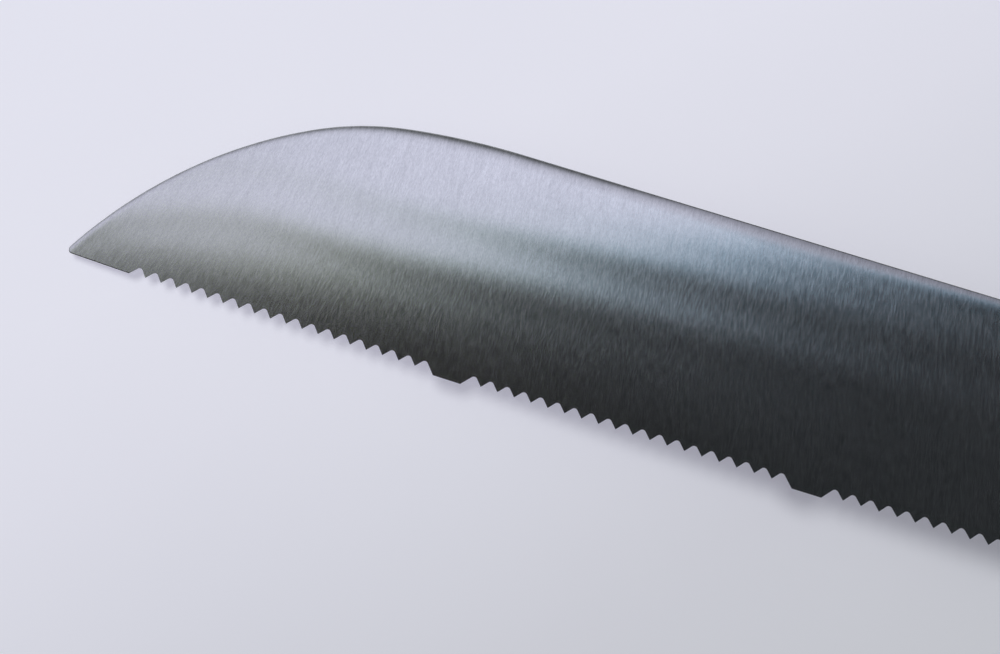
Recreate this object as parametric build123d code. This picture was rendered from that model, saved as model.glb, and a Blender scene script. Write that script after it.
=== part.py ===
from build123d import *
import math
import os

# Bread knife with a full tang, laid flat on its right side. Millimetres.
# +X runs from the tip to the butt, +Y from the cutting edge to the spine, and +Z up through the left side.
# The pieces are drawn with x from the tip, y from the lowest level of the cutting edge and z from the middle
# of the blade's thickness. At the end they all move together, so that the origin is at the middle of the
# bottom of the whole knife.

# Blade
blade_length = 210.0            # tip to heel
blade_height = 34.85            # lowest level of the cutting edge to the spine
stock_thickness = 2.0
spine_thickness = 1.9           # of the ground blade along its spine
edge_thickness = 0.5            # of the ground blade at the level y = 0, before it is sharpened
plunge_radius = 18.0            # where the grinding wheel leaves the side of the blade
plunge_setback = 1.5            # start of the plunge, in front of the heel
spine_easing = 0.24             # rounding of both corners of the spine

# Point: a small nose, then three arcs that flatten out into the spine
nose_radius = 0.8
tip_edge_height = 0.42          # cutting edge at the tip
back_rise_angle = 63.8          # direction of the back where it leaves the nose
back_shoulder_angle = 28.1      # direction between the first and the second arc
back_fade_angle = 9.2           # direction between the second and the third arc
shoulder_radius = 42.0
fade_radius = 109.0

# Cutting edge: a slow curve, ground into groups of teeth from the right side
edge_radius = 5000.0
edge_low_point = 18.7           # distance from the tip where the curve is lowest
plain_edge_height = 0.27        # cutting edge where the first group of teeth starts
grinding_wheel_width = 50.0     # each pass of the wheel cuts one group
pitches_per_wheel = 21
gullets_per_group = 19
first_gullet = 11.13            # distance from the tip
heel_plain_edge = 5.0           # least length without gullets at the heel
tooth_depth = 1.075
gullet_radius = 0.5
tooth_setback = 0.55            # from the plain edge to the tips of the teeth
sharpening_angle = 20.0         # between the ground facets and the blade
sharpening_allowance = 0.04     # taken off the plain stretches of edge

# Heel and outline of the handle
ricasso_length = 4.0            # heel to bolster
choil_radius = 3.5              # between heel and ricasso, where there is room for it
handle_length = 122.0           # bolster to butt
handle_back_radius = 1900.0
bolster_height = 22.5
belly_height = 24.8
belly_position = 40.0           # from the front of the bolster
waist_height = 23.6
waist_position = 80.0           # from the front of the bolster
butt_height = 28.0
butt_bulge = 2.0
butt_upper_radius = 11.0
butt_lower_radius = 8.0

# Cross-section of the handle
liner_thickness = 0.8
scale_thickness = 7.7
handle_rounding = 5.5
bolster_length = 19.0
bolster_ramp_radius = 12.0
bolster_lip = 0.5               # step from the blade's side to the front of the bolster
bolster_ramp_easing = 1.0

# Rivets and pins
rivet_head_radius = 4.0
rivet_head_depth = 3.0
rivet_barrel_radius = 2.5
rivet_stem_radius = 1.5
rivet_clearance = 0.1           # between a barrel and the tang
rivet_end_gap = 0.3             # from the end of a barrel or stem to the other half
front_rivet_margin = 14.0       # from the bolster joint
rear_rivet_margin = 17.0        # from the hanging hole
pin_radius = 1.5
pin_spacing = 7.5
pin_margin = 4.5                # from the bolster joint

# Hanging hole
hang_bore_radius = 3.0
hang_tube_wall = 0.8
hang_hole_margin = 13.0         # from the butt

# What follows from the sizes above
tool_reach = 10.0               # how far cutting tools reach past the metal
tolerance = 0.001               # for finding edges by their place
along_edge = (0.2, 0.5, 0.8)    # places where an edge is looked at, as parts of its length
halfway_round = math.sqrt(0.5)  # sine and cosine of the middle of a quarter circle
half_stock = stock_thickness / 2
liner_top = half_stock + liner_thickness
handle_half = liner_top + scale_thickness
head_seat = handle_half - rivet_head_depth
hang_tube_radius = hang_bore_radius + hang_tube_wall
grind_slope = (spine_thickness - edge_thickness) / 2 / blade_height
heel_overrun = choil_radius / 4  # how far the line of the edge runs on past the heel
bolster_front = blade_length + ricasso_length
bolster_joint = bolster_front + bolster_length
butt_end = bolster_front + handle_length
pin_x = bolster_joint - pin_margin
hang_hole_x = butt_end - hang_hole_margin
front_rivet_x = bolster_joint + front_rivet_margin
rear_rivet_x = hang_hole_x - rear_rivet_margin
rivet_x = {
    "front": front_rivet_x,
    "middle": (front_rivet_x + rear_rivet_x) / 2,
    "rear": rear_rivet_x,
}
last_gullet_limit = blade_length - heel_plain_edge
group_count = math.ceil((last_gullet_limit - first_gullet) / grinding_wheel_width)
tooth_pitch = grinding_wheel_width / pitches_per_wheel
root_rise = tooth_depth - gullet_radius
flank_angle = math.atan2(root_rise, tooth_pitch / 2) + math.asin(
    gullet_radius / math.hypot(root_rise, tooth_pitch / 2)
)                               # between the teeth's line and their flanks


def edge_height(x):
    """Height of the unground cutting edge."""
    return edge_radius - math.sqrt(edge_radius**2 - (x - edge_low_point) ** 2)


def plain_height(x):
    """Height of the edge where it has no teeth: straight at the tip, then along the slow curve."""
    if x < first_gullet:
        return tip_edge_height + (plain_edge_height - tip_edge_height) * x / first_gullet
    return edge_height(x)


def back_height(x):
    """Height of the handle's upper line, which leaves the spine in line with it."""
    return blade_height - handle_back_radius + math.sqrt(handle_back_radius**2 - (x - bolster_front) ** 2)


def below_back(x, height):
    """Point on the handle's lower line, at a given height of handle."""
    return (x, back_height(x) - height)


def height_arc(height, x_start, x_end):
    """Arc through three points of a height function."""
    points = [(x, height(x)) for x in (x_start, (x_start + x_end) / 2, x_end)]
    return ThreePointArc(*points)


def turning_arc(start, heading, new_heading, radius):
    """Arc that turns clockwise between two headings, in degrees from +X, and the point where it ends."""

    def on_arc(angle):
        turn = math.radians(angle)
        before = math.radians(heading)
        return (
            start[0] + radius * (math.sin(before) - math.sin(turn)),
            start[1] + radius * (math.cos(turn) - math.cos(before)),
        )

    end = on_arc(new_heading)
    return ThreePointArc(start, on_arc((heading + new_heading) / 2), end), end


def point_outline():
    """Nose and curved back of the blade, and the point where they reach the straight spine."""
    rise = math.cos(math.radians(back_rise_angle))
    shoulder = math.cos(math.radians(back_shoulder_angle))
    fade = math.cos(math.radians(back_fade_angle))
    nose_top = tip_edge_height + nose_radius * (1 + rise)
    upper_arcs_height = shoulder_radius * (fade - shoulder) + fade_radius * (1 - fade)
    belly_radius = (blade_height - nose_top - upper_arcs_height) / (shoulder - rise)

    arcs = []
    end = (nose_radius, tip_edge_height)
    for heading, new_heading, radius in (
        (180, back_rise_angle, nose_radius),
        (back_rise_angle, back_shoulder_angle, belly_radius),
        (back_shoulder_angle, back_fade_angle, shoulder_radius),
        (back_fade_angle, 0, fade_radius),
    ):
        arc, end = turning_arc(end, heading, new_heading, radius)
        arcs.append(arc)
    return arcs, end


def blade_outline():
    """Blade and ricasso before the teeth are ground. The step at the first gullet goes when it is ground."""
    arcs, spine_start = point_outline()
    heel_foot = (blade_length, edge_height(blade_length))
    choil_corner = (blade_length, blade_height - bolster_height)
    choil_room = min(ricasso_length, choil_corner[1] - heel_foot[1])
    lines = [
        Line((nose_radius, tip_edge_height), (first_gullet, plain_edge_height)),
        Line((first_gullet, plain_edge_height), (first_gullet, edge_height(first_gullet))),
        height_arc(edge_height, first_gullet, blade_length),
        Line(heel_foot, choil_corner),
        Line(choil_corner, (bolster_front, blade_height - bolster_height)),
        Line((bolster_front, blade_height - bolster_height), (bolster_front, blade_height)),
        Line((bolster_front, blade_height), spine_start),
    ]
    face = make_face(arcs + lines)
    corner = face.vertices().sort_by_distance(choil_corner)[0]
    return fillet(corner, min(choil_radius, choil_room - tolerance))


def handle_outline():
    """Outline of the handle, which the tang, liners, scales and bolsters share."""
    butt_top = (butt_end - butt_bulge, back_height(butt_end - butt_bulge))
    butt_foot = below_back(butt_end - butt_bulge, butt_height)
    front_foot = below_back(bolster_front, bolster_height)
    lower_line = Spline(
        front_foot,
        below_back(bolster_front + belly_position, belly_height),
        below_back(bolster_front + waist_position, waist_height),
        butt_foot,
    )
    face = make_face(
        [
            height_arc(back_height, bolster_front, butt_top[0]),
            ThreePointArc(butt_top, (butt_end, (butt_top[1] + butt_foot[1]) / 2), butt_foot),
            lower_line,
            Line(front_foot, (bolster_front, blade_height)),
        ]
    )
    upper_corner = face.vertices().sort_by_distance(butt_top)[0]
    face = fillet(upper_corner, butt_upper_radius)
    lower_corner = face.vertices().sort_by_distance(butt_foot)[0]
    return fillet(lower_corner, butt_lower_radius)


def middle_height(x):
    """Height of the middle of the handle at a distance from the tip."""
    crossing = handle_outline() & Line((x, -blade_height), (x, 2 * blade_height))
    return crossing.edges()[0].center().Y


def bar(x, y, radius, z_low, z_high):
    """Round bar along z."""
    return Pos(x, y, (z_low + z_high) / 2) * Cylinder(radius, z_high - z_low)


def hang_hole():
    """What the hanging tube fills, from side to side of the handle."""
    return bar(hang_hole_x, middle_height(hang_hole_x), hang_tube_radius, -handle_half, handle_half)


def wheel_profile(x, base, radius):
    """Outline of a cut along the blade: flat from the tip to x, then a quarter circle out of the metal."""
    start = (x, base)
    middle = (x + radius * halfway_round, base + radius * (1 - halfway_round))
    top = (x + radius, base + radius)
    corner = (-tool_reach, base + radius)
    outline = [
        ThreePointArc(start, middle, top),
        Line(top, corner),
        Line(corner, (-tool_reach, base)),
        Line((-tool_reach, base), start),
    ]
    return make_face(outline)


def side_grind():
    """What the taper grinding takes off the left side, up to the arc where the wheel leaves the metal."""
    profile = wheel_profile(blade_length - plunge_setback, 0, plunge_radius)
    across = Plane(
        origin=(0, blade_height, spine_thickness / 2), x_dir=(1, 0, 0), z_dir=(0, -1, -grind_slope)
    )
    return extrude(across * profile, blade_height + tool_reach, both=True)


def tooth_group(first_x, count):
    """One pass of the wheel: a row of gullets between two plain stretches, as edges from foot to foot."""
    middle = (count - 1) / 2
    centre_x = first_x + middle * tooth_pitch
    centre_y = edge_height(centre_x) + tooth_setback
    slope = math.asin((centre_x - edge_low_point) / edge_radius)

    def place(along, inward):
        """Point in the group's own frame, which follows the edge at the middle of the group."""
        return (
            centre_x + along * math.cos(slope) - inward * math.sin(slope),
            centre_y + along * math.sin(slope) + inward * math.cos(slope),
        )

    def foot(direction):
        """Where the outer flank of the group meets the plain edge."""
        along = direction * count * tooth_pitch / 2
        crest = place(along, 0)
        inward = plain_height(crest[0]) + sharpening_allowance - crest[1]
        return place(along - direction * inward / math.tan(flank_angle), inward)

    half_root = gullet_radius * math.sin(flank_angle)
    root_foot = root_rise + gullet_radius * math.cos(flank_angle)
    edges = []
    here = foot(-1)
    for gullet in range(count):
        along = (gullet - middle) * tooth_pitch
        root_start = place(along - half_root, root_foot)
        root_end = place(along + half_root, root_foot)
        crest = place(along + tooth_pitch / 2, 0)
        flank_end = foot(1) if gullet == count - 1 else crest
        edges.append(Line(here, root_start))
        edges.append(ThreePointArc(root_start, place(along, tooth_depth), root_end))
        edges.append(Line(root_end, flank_end))
        here = flank_end
    return foot(-1), edges, foot(1)


def tooth_line():
    """Cutting edge from before the tip to past the heel, with every gullet, as edges, and its two ends."""
    start = (-tool_reach, plain_height(-tool_reach) + sharpening_allowance)
    end_x = blade_length + heel_overrun
    end = (end_x, plain_height(end_x) + sharpening_allowance)
    edges = []
    here = start
    for group in range(group_count):
        first_x = first_gullet + group * grinding_wheel_width
        fitting = math.floor((last_gullet_limit - first_x) / tooth_pitch) + 1
        group_start, teeth, group_end = tooth_group(first_x, min(gullets_per_group, fitting))
        edges += [Line(here, group_start)] + teeth
        here = group_end
    return edges + [Line(here, end)], start, end


def tooth_grind():
    """What sharpening takes off: the line of teeth, swept at the sharpening angle to the right side."""
    edges, start, end = tooth_line()
    below_start = (start[0], -stock_thickness)
    below_end = (end[0], -stock_thickness)
    comb = make_face(edges + [Line(end, below_end), Line(below_end, below_start), Line(below_start, start)])
    left_side = Plane(origin=(0, 0, edge_thickness / 2), x_dir=(1, 0, 0), z_dir=(0, -grind_slope, 1))
    angle = math.radians(sharpening_angle)
    sweep = Vector(0, math.cos(angle), -math.sin(angle))
    depth = stock_thickness / math.sin(angle)
    return extrude((left_side * comb).moved(Location(sweep * -half_stock)), depth, dir=sweep)


def ease_spine(blade):
    """Round both corners of the spine, from the nose to the bolster."""
    arcs, spine_start = point_outline()
    back = arcs[1:] + [Line(spine_start, (bolster_front, blade_height))]

    def runs_along_back(edge):
        middle = edge @ 0.5
        seen_from_side = Vector(middle.X, middle.Y)
        on_back = any(curve.distance_to(seen_from_side) < tolerance for curve in back)
        return on_back and abs((edge @ 0).X - (edge @ 1).X) > tolerance

    return fillet(blade.edges().filter_by(runs_along_back), spine_easing)


def make_blade():
    """Blade and tang in one piece."""
    grind = side_grind()
    blade = extrude(blade_outline(), half_stock, both=True) - grind - mirror(grind, Plane.XY)
    blade = ease_spine(blade) - tooth_grind()
    tang = extrude(handle_outline(), half_stock, both=True)
    for x in rivet_x.values():
        tang -= bar(x, middle_height(x), rivet_barrel_radius + rivet_clearance, -half_stock, half_stock)
    for y in pin_y.values():
        tang -= bar(pin_x, y, pin_radius, -half_stock, half_stock)
    return blade + (tang - hang_hole())


def handle_side():
    """Left half of the whole handle outside the tang, with its outer edge rounded."""
    side = Pos(0, 0, half_stock) * extrude(handle_outline(), handle_half - half_stock)
    rim = side.faces().sort_by(Axis.Z)[-1].edges()
    return fillet(rim.filter_by(lambda edge: (edge @ 0.5).X > bolster_front + tolerance), handle_rounding)


def bolster_ramp():
    """Hollow in front of the bolster, where it sweeps down to the side of the blade."""
    profile = wheel_profile(bolster_front, half_stock + bolster_lip, bolster_ramp_radius)
    sideways = Plane(origin=(0, blade_height / 2, 0), x_dir=(1, 0, 0), z_dir=(0, -1, 0))
    return extrude(sideways * profile, blade_height, both=True)


def make_bolster():
    """Left bolster half."""
    bolster = split(handle_side(), at_joint, keep=Keep.BOTTOM) - bolster_ramp()
    ramp_axis = (bolster_front, half_stock + bolster_lip + bolster_ramp_radius)

    def tops_ramp(edge):
        points = [edge @ part for part in along_edge]
        from_axis = [math.dist(ramp_axis, (point.X, point.Z)) for point in points]
        on_ramp = all(abs(distance - bolster_ramp_radius) < tolerance for distance in from_axis)
        return on_ramp and points[0].X > bolster_front + tolerance

    bolster = fillet(bolster.edges().filter_by(tops_ramp), bolster_ramp_easing)
    for y in pin_y.values():
        bolster -= bar(pin_x, y, pin_radius, 0, handle_half)
    return bolster


def make_scale():
    """Left wooden scale, with a seat for each rivet head."""
    scale = split(handle_side(), at_joint, keep=Keep.TOP)
    scale = split(scale, Plane(origin=(0, 0, liner_top)), keep=Keep.TOP)
    for x in rivet_x.values():
        y = middle_height(x)
        scale -= bar(x, y, rivet_barrel_radius, 0, handle_half)
        scale -= bar(x, y, rivet_head_radius, head_seat, handle_half)
    return scale - hang_hole()


def make_liner():
    """Left liner, between the tang and the scale."""
    liner = Pos(0, 0, half_stock) * extrude(handle_outline(), liner_thickness)
    liner = split(liner, at_joint, keep=Keep.TOP)
    for x in rivet_x.values():
        liner -= bar(x, middle_height(x), rivet_barrel_radius, 0, handle_half)
    return liner - hang_hole()


def make_female_rivet(x):
    """Rivet half with a head on the left side and a hollow barrel that reaches nearly to the other head."""
    y = middle_height(x)
    head = bar(x, y, rivet_head_radius, head_seat, handle_half)
    barrel = bar(x, y, rivet_barrel_radius, rivet_end_gap - head_seat, head_seat)
    return head + barrel - bar(x, y, rivet_stem_radius, -head_seat, head_seat)


def make_male_rivet(x):
    """Rivet half with a head on the right side and a stem that is pressed into the barrel."""
    y = middle_height(x)
    head = bar(x, y, rivet_head_radius, -handle_half, -head_seat)
    return head + bar(x, y, rivet_stem_radius, -head_seat, head_seat - rivet_end_gap)


def make_hang_tube():
    """Tube that lines the hanging hole from side to side."""
    y = middle_height(hang_hole_x)
    return hang_hole() - bar(hang_hole_x, y, hang_bore_radius, -handle_half, handle_half)


at_joint = Plane(origin=(bolster_joint, 0, 0), z_dir=(1, 0, 0))
pin_y = {
    "upper": middle_height(pin_x) + pin_spacing / 2,
    "lower": middle_height(pin_x) - pin_spacing / 2,
}
pieces = {"blade": make_blade(), "hang_tube": make_hang_tube()}
for name, piece in {"bolster": make_bolster(), "liner": make_liner(), "scale": make_scale()}.items():
    pieces[name + "_left"] = piece
    pieces[name + "_right"] = mirror(piece, Plane.XY)
for name, y in pin_y.items():
    pieces["bolster_pin_" + name] = bar(pin_x, y, pin_radius, -handle_half, handle_half)
for name, x in rivet_x.items():
    pieces["rivet_" + name + "_female"] = make_female_rivet(x)
    pieces["rivet_" + name + "_male"] = make_male_rivet(x)

whole = Compound(children=[Compound(piece.wrapped) for piece in pieces.values()]).bounding_box()
to_origin = Pos(-whole.center().X, -whole.center().Y, -whole.min.Z)
os.makedirs("parts", exist_ok=True)
for name, piece in pieces.items():
    export_step(to_origin * piece, "parts/" + name + ".step")
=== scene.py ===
import math

import bpy
from mathutils import Matrix, Vector


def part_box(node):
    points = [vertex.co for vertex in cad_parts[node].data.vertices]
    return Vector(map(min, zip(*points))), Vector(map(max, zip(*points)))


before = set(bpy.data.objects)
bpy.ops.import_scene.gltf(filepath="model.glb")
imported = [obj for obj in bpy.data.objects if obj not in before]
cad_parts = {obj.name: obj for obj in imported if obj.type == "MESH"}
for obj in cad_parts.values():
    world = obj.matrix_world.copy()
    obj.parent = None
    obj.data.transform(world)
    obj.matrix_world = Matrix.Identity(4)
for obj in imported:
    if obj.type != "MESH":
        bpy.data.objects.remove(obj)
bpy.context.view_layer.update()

MM = 0.001

# Landmarks of the knife, in metres: tip at -X, spine at +Y, left side of the blade up
blade_low, blade_high = (Vector(corner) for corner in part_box("blade"))
tip_x = blade_low.x
spine_y = blade_high.y
blade_mid_z = (blade_low.z + blade_high.z) / 2
point = Vector((tip_x, spine_y, blade_mid_z))

# Camera. Its place and aim are in mm from the point's x, the spine's y and the middle of the blade's thickness.
LENS = 27.0
SENSOR_WIDTH = 36.0
CLIP_START = 5 * MM
CAMERA_OFFSET = Vector((70.2, -47.2, 101.7))
AIM_OFFSET = Vector((62.2, -25.4, 0.4))
CAMERA_ROLL = math.radians(18.37)

# Line of the blade's back, in mm from the tip: straight beyond STRAIGHT_FROM, and an arc before it. Each next
# arc has the distance from the tip where it takes over, its radius, and the back's slope there in degrees.
STRAIGHT_FROM = 57.15
FADE_RADIUS = 109.0
NEXT_ARCS = ((39.72, 42.0, 9.2), (26.65, 62.33, 28.1))

# Stage, in metres
HANDLE_CONTACT = 8 * MM         # how far in front of the wood the handle rests
FLOOR_SIZE = 6.0                # half a side
CARD_HEIGHT = 0.8
CARD_HALF_LENGTH = 1.5
CARD_NEAR = -1.3                # near and far edge, as slopes from under the camera
CARD_FAR = 1.6
CARD_BRIGHT = (1.03, 1.03, 1.24)
CARD_DIM = (0.15, 0.16, 0.16)
SUN_STRENGTH = 1.05
SUN_ANGLE = math.radians(35)
SUN_COLOUR = (0.98, 0.98, 1.0)
SUN_DIRECTION = Vector((0.25, -0.32, -1.0))
ROOM_COLOUR = (0.95, 0.975, 1.0, 1.0)
ROOM_MIRRORED = 0.45            # strengths of the room's light
ROOM_SEEN = 0.60
ROOM_FILL = 0.30


# ---------------------------------------------------------------- camera
def place_camera():
    """Camera close over the front of the blade, a little on the edge side and rolled to the left."""
    camera_data = bpy.data.cameras.new("camera")
    camera_data.lens = LENS
    camera_data.sensor_width = SENSOR_WIDTH
    camera_data.clip_start = CLIP_START
    camera = bpy.data.objects.new("camera", camera_data)
    bpy.context.scene.collection.objects.link(camera)
    place = point + CAMERA_OFFSET * MM
    forward = (point + AIM_OFFSET * MM - place).normalized()
    rolled_up = Vector((-math.sin(CAMERA_ROLL), math.cos(CAMERA_ROLL), 0))
    right = forward.cross(rolled_up).normalized()
    up = right.cross(forward)
    turn = Matrix((right, up, -forward)).transposed().to_4x4()
    camera.matrix_world = Matrix.Translation(place) @ turn
    bpy.context.scene.camera = camera
    return right, place


# ---------------------------------------------------------------- node graphs
class Graph:
    """A material's node graph, written as short calls that return sockets."""

    def __init__(self, name):
        self.material = bpy.data.materials.new(name)
        self.material.use_nodes = True
        self.nodes = self.material.node_tree.nodes
        self.links = self.material.node_tree.links
        self.nodes.clear()

    def add(self, kind, inputs=None, **settings):
        """New node; inputs maps a socket's name or number to a value or to another socket."""
        node = self.nodes.new(kind)
        for key, value in settings.items():
            setattr(node, key, value)
        for key, value in (inputs or {}).items():
            if isinstance(value, bpy.types.NodeSocket):
                self.links.new(value, node.inputs[key])
            else:
                node.inputs[key].default_value = value
        return node

    def math(self, operation, a, b=0.0):
        return self.add("ShaderNodeMath", {0: a, 1: b}, operation=operation).outputs[0]

    def plus(self, a, b):
        return self.math("ADD", a, b)

    def minus(self, a, b):
        return self.math("SUBTRACT", a, b)

    def times(self, a, b):
        return self.math("MULTIPLY", a, b)

    def vector(self, x, y, z=0.0):
        return self.add("ShaderNodeCombineXYZ", {0: x, 1: y, 2: z}).outputs[0]

    def vector_math(self, operation, *inputs):
        numbered = dict(enumerate(inputs))
        return self.add("ShaderNodeVectorMath", numbered, operation=operation).outputs[0]

    def stretched(self, coordinates, scales):
        """Vector of coordinates, each times its own scale."""
        return self.vector(*(self.times(c, s) for c, s in zip(coordinates, scales)))

    def noise(self, place, scale=1.0, detail=2.0, roughness=0.5):
        inputs = {"Vector": place, "Scale": scale, "Detail": detail, "Roughness": roughness}
        return self.add("ShaderNodeTexNoise", inputs).outputs["Fac"]

    def remap(self, value, low, high, to_low=0.0, to_high=1.0, smooth=False):
        settings = {"interpolation_type": "SMOOTHSTEP"} if smooth else {}
        inputs = {0: value, 1: low, 2: high, 3: to_low, 4: to_high}
        return self.add("ShaderNodeMapRange", inputs, **settings).outputs[0]

    def ramp(self, value, stops):
        """Colour ramp from (position, colour) stops."""
        node = self.add("ShaderNodeValToRGB", {0: value})
        elements = node.color_ramp.elements
        while len(elements) < len(stops):
            elements.new(1.0)
        for element, (position, colour) in zip(elements, stops):
            element.position = position
            element.color = (*colour, 1.0)
        return node.outputs[0]

    def mix(self, factor, a, b, blend="MIX"):
        inputs = {0: factor, 6: a, 7: b}
        return self.add("ShaderNodeMix", inputs, data_type="RGBA", blend_type=blend).outputs[2]

    def bump(self, height, depth, normal=None):
        """Bump from a height of 0 to 1 that stands for this many metres."""
        inputs = {"Height": height, "Strength": 1.0, "Distance": depth}
        if normal is not None:
            inputs["Normal"] = normal
        return self.add("ShaderNodeBump", inputs).outputs[0]

    def place_mm(self):
        """Coordinates on the piece in millimetres, as three sockets."""
        place = self.add("ShaderNodeTexCoord").outputs["Object"]
        inputs = {0: place, "Scale": 1 / MM}
        scaled = self.add("ShaderNodeVectorMath", inputs, operation="SCALE").outputs[0]
        return self.add("ShaderNodeSeparateXYZ", {0: scaled}).outputs

    def surface(self, **inputs):
        """Principled shader on the output. Underscores in a name stand for spaces."""
        named = {key.replace("_", " "): value for key, value in inputs.items()}
        shader = self.add("ShaderNodeBsdfPrincipled", named)
        self.add("ShaderNodeOutputMaterial", {"Surface": shader.outputs[0]})
        return self.material


# ---------------------------------------------------------------- materials
def inside_arc(g, across, above, radius):
    """Distance in from an arc, and the direction outward, for a place measured from the arc's centre."""
    spoke = g.vector(across, above)
    length = g.add("ShaderNodeVectorMath", {0: spoke}, operation="LENGTH").outputs["Value"]
    return g.minus(radius, length), g.vector_math("NORMALIZE", spoke)


def back_of_blade(g, x, y):
    """Distance in from the blade's back in mm, and the outward direction there, as two sockets."""
    radius = FADE_RADIUS
    centre_x = tip_x / MM + STRAIGHT_FROM
    centre_y = spine_y / MM - radius
    before_straight = g.math("MINIMUM", g.minus(x, centre_x), 0.0)
    distance, outward = inside_arc(g, before_straight, g.minus(y, centre_y), radius)
    for from_tip, next_radius, slope in NEXT_ARCS:
        step = radius - next_radius
        centre_x -= step * math.sin(math.radians(slope))
        centre_y += step * math.cos(math.radians(slope))
        radius = next_radius
        inset, direction = inside_arc(g, g.minus(x, centre_x), g.minus(y, centre_y), radius)
        nearer_tip = g.math("LESS_THAN", x, tip_x / MM + from_tip)
        distance = g.add("ShaderNodeMix", {0: nearer_tip, 2: distance, 3: inset}).outputs[0]
        directions = {0: nearer_tip, 4: outward, 5: direction}
        outward = g.add("ShaderNodeMix", directions, data_type="VECTOR").outputs[1]
    return distance, outward


def ripples(g, along, y):
    """Tilt of the ripples left by the grinding belt. They follow the line of the back towards the tip."""
    drop_before, drop_rate = 28.0, 0.012
    climb_after, climb_rate = 45.0, 0.045
    middle_y, wavelength = -0.3, 9.0
    highest_tilt, tilt_offset = 0.0115, 0.25
    fade_start, fade_end = 4.5, 10.0
    drop = g.math("POWER", g.math("MAXIMUM", g.minus(drop_before, along), 0.0), 2.0)
    climb = g.math("MAXIMUM", g.minus(along, climb_after), 0.0)
    bend = g.minus(g.times(drop, drop_rate), g.times(climb, climb_rate))
    ripple_y = g.plus(g.minus(y, middle_y), bend)
    wave = g.math("COSINE", g.times(ripple_y, 2 * math.pi / wavelength))
    fading = g.remap(g.math("ABSOLUTE", ripple_y), fade_start, fade_end, highest_tilt, 0.0)
    return g.times(g.plus(wave, tilt_offset), fading)


def blade_steel():
    """Satin steel, brushed across the blade. The strokes fan out towards the tip."""
    g = Graph("blade_steel")
    x, y, z = g.place_mm()
    along = g.minus(x, tip_x / MM)
    fan = g.remap(along, 5.0, 55.0, 0.17, -0.06, smooth=True)
    across = g.minus(x, g.times(y, fan))
    tangent = g.vector(1.0, g.times(fan, -1.0))

    fine = g.noise(g.vector(g.times(across, 4.2), g.times(y, 0.65), z))
    strokes = g.noise(g.vector(g.times(across, 1.3), g.times(y, 0.16), z))
    grain = g.noise(g.vector(g.times(across, 6.5), g.times(y, 2.2), z), detail=1.0)
    cloud = g.noise(g.stretched((x, y), (0.03, 0.08)))
    tone = g.plus(g.plus(g.times(fine, 0.45), g.times(strokes, 0.20)), g.times(grain, 0.35))
    colour = g.ramp(tone, [(0.35, (0.50, 0.51, 0.52)), (0.65, (0.69, 0.70, 0.71))])
    rough = g.plus(g.remap(fine, 0.3, 0.7, 0.200, 0.240), g.remap(cloud, 0.3, 0.7, -0.01, 0.01))

    # It falls away a little towards the edge
    above_edge = g.minus(y, blade_low.y / MM)
    edge_tilt = g.remap(above_edge, 7.5, 1.5, 0.0, -0.018, smooth=True)
    tilt = g.plus(ripples(g, along, y), edge_tilt)

    # It rolls over softly towards the back, most of all at the middle of the curve, and its colour is painted
    # darker there, a painted shade along the back
    distance, outward = back_of_blade(g, x, y)
    width_at_curve = g.remap(along, 20.0, 50.0, 1.3, 2.4, smooth=True)
    width = g.plus(width_at_curve, g.remap(along, 85.0, 108.0, 0.0, 0.8, smooth=True))
    nearness = g.math("MAXIMUM", g.minus(1.0, g.math("DIVIDE", distance, width)), 0.0)
    rolling_on = g.remap(along, 20.0, 50.0, 0.19, 0.215, smooth=True)
    rolling_off = g.remap(along, 68.0, 96.0, 0.0, 0.125, smooth=True)
    roll = g.times(g.math("POWER", nearness, 2.0), g.minus(rolling_on, rolling_off))
    # Painted shade: near the back the steel's colour is darkened by 12 % up to 30 mm from the tip, rising to 72
    # % from 92 mm on
    clear = g.plus(g.times(nearness, g.remap(along, 30.0, 92.0, -0.12, -0.72)), 1.0)
    colour = g.mix(1.0, colour, g.vector(clear, clear, clear), blend="MULTIPLY")

    flat = g.add("ShaderNodeNewGeometry").outputs["Normal"]
    rolled = g.vector_math("MULTIPLY_ADD", outward, g.vector(roll, roll, roll), flat)
    tilted = g.vector_math("ADD", rolled, g.vector(0.0, tilt))
    return g.surface(
        Base_Color=colour,
        Metallic=1.0,
        Roughness=rough,
        Anisotropic=0.8,
        Tangent=tangent,
        Normal=g.bump(fine, 0.002 * MM, g.vector_math("NORMALIZE", tilted)),
    )


def satin_metal(name, stroke_axis, tint):
    """Satin metal with short strokes along one axis."""
    across_strokes, along_strokes, darkest = 5.0, 0.35, 0.88
    g = Graph(name)
    x, y, z = g.place_mm()
    scales = [along_strokes if axis == stroke_axis else across_strokes for axis in "xyz"]
    strokes = g.noise(g.stretched((x, y, z), scales), detail=3.0, roughness=0.6)
    blotch = g.noise(g.vector(x, y, z), scale=0.12, detail=3.0)
    dark = tuple(darkest * channel for channel in tint)
    rough = g.plus(g.remap(strokes, 0.3, 0.7, 0.22, 0.32), g.remap(blotch, 0.3, 0.7, -0.03, 0.04))
    return g.surface(
        Base_Color=g.ramp(strokes, [(0.3, dark), (0.7, tint)]),
        Metallic=1.0,
        Roughness=rough,
        Normal=g.bump(strokes, 0.004 * MM),
    )


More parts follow.
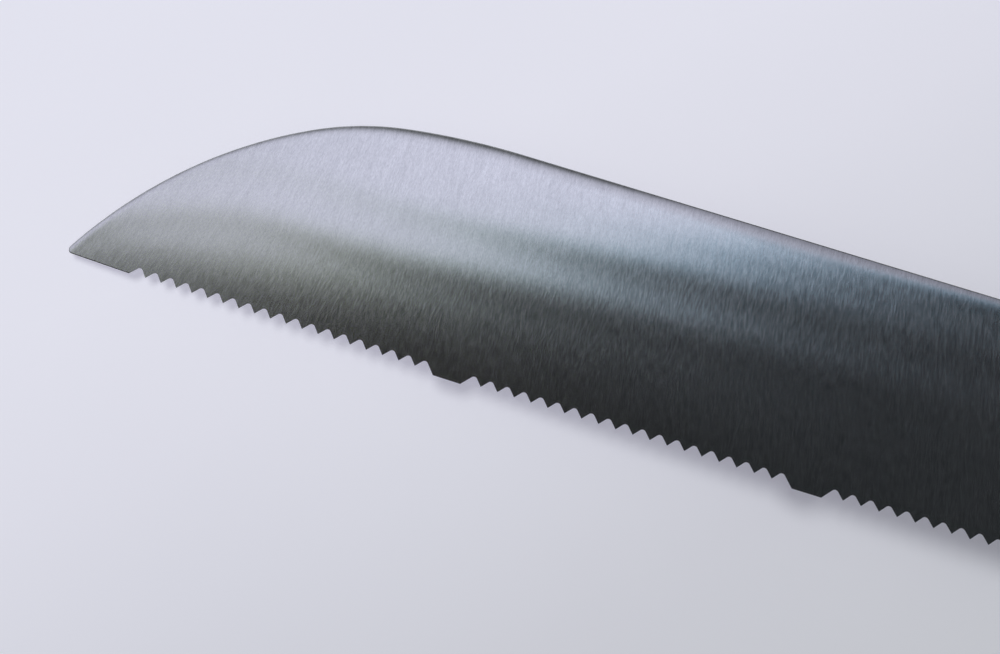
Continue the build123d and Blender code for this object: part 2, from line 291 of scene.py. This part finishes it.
def hardwood():
    """Dark hardwood, oiled and sanded, with the grain along the handle and small open pores."""
    g = Graph("handle_wood")
    x, y, z = g.place_mm()
    drift = g.noise(g.vector(g.times(x, 0.022), g.times(y, 0.06), z))
    grain_place = (x, g.plus(y, g.times(drift, 14.0)), z)
    rings = g.noise(g.stretched(grain_place, (0.012, 0.5, 0.45)), detail=4.0, roughness=0.55)
    fibres = g.noise(g.stretched(grain_place, (0.10, 3.0, 3.0)), detail=4.0, roughness=0.65)
    pores = g.remap(g.noise(g.stretched(grain_place, (0.45, 4.5, 4.5)), detail=1.0), 0.64, 0.72)
    tone = g.ramp(
        rings,
        [
            (0.32, (0.030, 0.012, 0.007)),
            (0.42, (0.105, 0.042, 0.019)),
            (0.50, (0.180, 0.076, 0.033)),
            (0.57, (0.085, 0.034, 0.016)),
            (0.70, (0.200, 0.090, 0.040)),
        ],
    )
    streaked = g.mix(g.remap(fibres, 0.35, 0.7, 0.0, 0.45), tone, (0.235, 0.112, 0.055, 1.0))
    return g.surface(
        Base_Color=g.mix(pores, streaked, (0.014, 0.007, 0.005, 1.0)),
        Roughness=g.plus(g.remap(fibres, 0.3, 0.7, 0.34, 0.48), g.times(pores, 0.3)),
        Specular_IOR_Level=0.5,
        Coat_Weight=0.25,
        Coat_Roughness=0.25,
        Normal=g.bump(g.minus(g.times(fibres, 0.4), pores), 0.05 * MM),
    )


def fibre():
    """Vulcanised fibre sheet, seen on its sanded edge."""
    g = Graph("liner_fibre")
    layers = g.noise(g.stretched(g.place_mm(), (0.3, 0.3, 9.0)), detail=4.0)
    return g.surface(
        Base_Color=g.ramp(layers, [(0.3, (0.012, 0.011, 0.011)), (0.7, (0.045, 0.041, 0.040))]),
        Roughness=g.remap(layers, 0.3, 0.7, 0.55, 0.75),
        Specular_IOR_Level=0.4,
        Normal=g.bump(layers, 0.02 * MM),
    )


def paint(material, *names):
    for name in names:
        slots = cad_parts[name].data.materials
        slots.clear()
        slots.append(material)


rivets = [f"rivet_{place}_{half}" for place in ("front", "middle", "rear") for half in ("female", "male")]
paint(blade_steel(), "blade")
paint(satin_metal("bolster_steel", "y", (0.62, 0.61, 0.59)), "bolster_left", "bolster_right")
paint(satin_metal("pin_steel", "y", (0.60, 0.59, 0.57)), "bolster_pin_upper", "bolster_pin_lower")
paint(satin_metal("rivet_steel", "x", (0.66, 0.63, 0.58)), *rivets)
paint(satin_metal("tube_brass", "x", (0.80, 0.58, 0.28)), "hang_tube")
paint(hardwood(), "scale_left", "scale_right")
paint(fibre(), "liner_left", "liner_right")


# ---------------------------------------------------------------- stage
def sheet(name, corners, material):
    """A flat four-cornered stage piece."""
    mesh = bpy.data.meshes.new(name)
    mesh.from_pydata(corners, [], [(0, 1, 2, 3)])
    mesh.materials.append(material)
    piece = bpy.data.objects.new(name, mesh)
    bpy.context.scene.collection.objects.link(piece)
    return piece


def table_top():
    """Pale matt table, brighter beyond the tip. Its own light keeps the shadows mild."""
    g = Graph("table_top")
    x, y, z = g.place_mm()
    mottle = g.noise(g.vector(x, y, z), scale=0.02, detail=4.0)
    diagonal = g.times(g.minus(x, y), math.sqrt(0.5))
    own_light = g.ramp(
        g.remap(diagonal, -150.0, 150.0),
        [
            (0.00, (0.315, 0.305, 0.375)),
            (0.17, (0.298, 0.288, 0.352)),
            (0.25, (0.262, 0.252, 0.310)),
            (0.32, (0.210, 0.203, 0.250)),
            (0.40, (0.148, 0.142, 0.174)),
            (0.50, (0.100, 0.098, 0.114)),
            (1.00, (0.085, 0.088, 0.100)),
        ],
    )
    return g.surface(
        Base_Color=g.ramp(mottle, [(0.3, (0.75, 0.765, 0.79)), (0.7, (0.77, 0.785, 0.81))]),
        Roughness=0.6,
        Specular_IOR_Level=0.15,
        Emission_Color=own_light,
        Emission_Strength=1.0,
    )


def lay_floor():
    """Floor under the knife, which rests on the underside of its tip and on the front of its handle."""
    contact_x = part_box("scale_right")[0][0] - HANDLE_CONTACT
    slope = blade_low.z / (tip_x - contact_x)
    corners = []
    for side_x, side_y in ((-1, -1), (1, -1), (1, 1), (-1, 1)):
        x, y = side_x * FLOOR_SIZE, side_y * FLOOR_SIZE
        corners.append((x, y, (x - contact_x) * slope))
    sheet("floor", corners, table_top())


def only_in_reflections(piece):
    piece.visible_camera = False
    piece.visible_diffuse = False
    piece.visible_shadow = False
    piece.visible_transmission = False


def card_bands(g, place, dark, *dawn):
    """Colours of the card from its near to its far edge: dark, a narrow dawn, bright and then dim."""

    def at(slope):
        return (slope - CARD_NEAR) / (CARD_FAR - CARD_NEAR)

    stops = [(CARD_NEAR, (0.40, 0.40, 0.42)), (-0.75, dark), (0.320, dark), *dawn]
    stops += [(0.62, CARD_BRIGHT), (0.90, CARD_DIM), (1.35, CARD_DIM), (CARD_FAR, (0.45, 0.46, 0.50))]
    return g.ramp(place, [(at(slope), colour) for slope, colour in stops])


def sky_card(name, right, camera_place):
    """Large card over the knife, seen only in reflections, as the room and its window."""
    side = Vector((right.x, right.y, 0)).normalized()
    away = Vector((-side.y, side.x, 0))
    centre = Vector((camera_place.x, camera_place.y, blade_mid_z + CARD_HEIGHT))
    corners = []
    for slope, end in ((CARD_NEAR, -1), (CARD_NEAR, 1), (CARD_FAR, 1), (CARD_FAR, -1)):
        corners.append(centre + away * slope * CARD_HEIGHT + side * end * CARD_HALF_LENGTH)

    g = Graph(name)
    x, y, z = g.place_mm()

    def slope_along(direction):
        reach_x = g.times(g.minus(x, centre.x / MM), direction.x)
        reach_y = g.times(g.minus(y, centre.y / MM), direction.y)
        return g.math("DIVIDE", g.plus(reach_x, reach_y), CARD_HEIGHT / MM)

    place = g.remap(slope_along(away), CARD_NEAR, CARD_FAR)
    warm_dark, cool_dark = (0.030, 0.028, 0.024), (0.024, 0.027, 0.029)
    warm_dawn = ((0.330, (0.03, 0.03, 0.024)), (0.340, (0.75, 1.03, 0.08)), (0.366, CARD_BRIGHT))
    cool_dawn = ((0.331, (0.03, 0.40, 0.75)), (0.343, (0.40, 1.0, 1.20)), (0.361, CARD_BRIGHT))
    warm = card_bands(g, place, warm_dark, *warm_dawn)
    cool = card_bands(g, place, cool_dark, *cool_dawn)
    colour = g.mix(g.remap(slope_along(side), -0.35, 0.30), warm, cool)
    shader = g.add("ShaderNodeEmission", {"Color": colour, "Strength": 1.0})
    g.add("ShaderNodeOutputMaterial", {"Surface": shader.outputs[0]})
    only_in_reflections(sheet(name, corners, g.material))


def light_key():
    """Soft light from above, on the tip's and the spine's side, that isn't mirrored."""
    key_data = bpy.data.lights.new("key", "SUN")
    key_data.energy = SUN_STRENGTH
    key_data.angle = SUN_ANGLE
    key_data.color = SUN_COLOUR
    key = bpy.data.objects.new("key", key_data)
    key.rotation_euler = SUN_DIRECTION.to_track_quat("-Z", "Y").to_euler()
    key.visible_glossy = False
    bpy.context.scene.collection.objects.link(key)


def light_room():
    """The room looks like the far table, is a little darker in mirrors, and fills the shade gently."""
    world = bpy.data.worlds.new("world")
    world.use_nodes = True
    nodes, links = world.node_tree.nodes, world.node_tree.links
    background = nodes["Background"]
    background.inputs["Color"].default_value = ROOM_COLOUR
    ray = nodes.new("ShaderNodeLightPath")
    level = None
    for kind, strength in (("Is Camera Ray", ROOM_SEEN), ("Is Diffuse Ray", ROOM_FILL)):
        choice = nodes.new("ShaderNodeMix")
        links.new(ray.outputs[kind], choice.inputs[0])
        choice.inputs[2].default_value = ROOM_MIRRORED
        choice.inputs[3].default_value = strength
        if level:
            links.new(level, choice.inputs[2])
        level = choice.outputs[0]
    links.new(level, background.inputs["Strength"])
    bpy.context.scene.world = world


camera_right, camera_place = place_camera()
lay_floor()
sky_card("sky_card", camera_right, camera_place)
light_key()
light_room()
bpy.context.scene.view_settings.view_transform = "Standard"
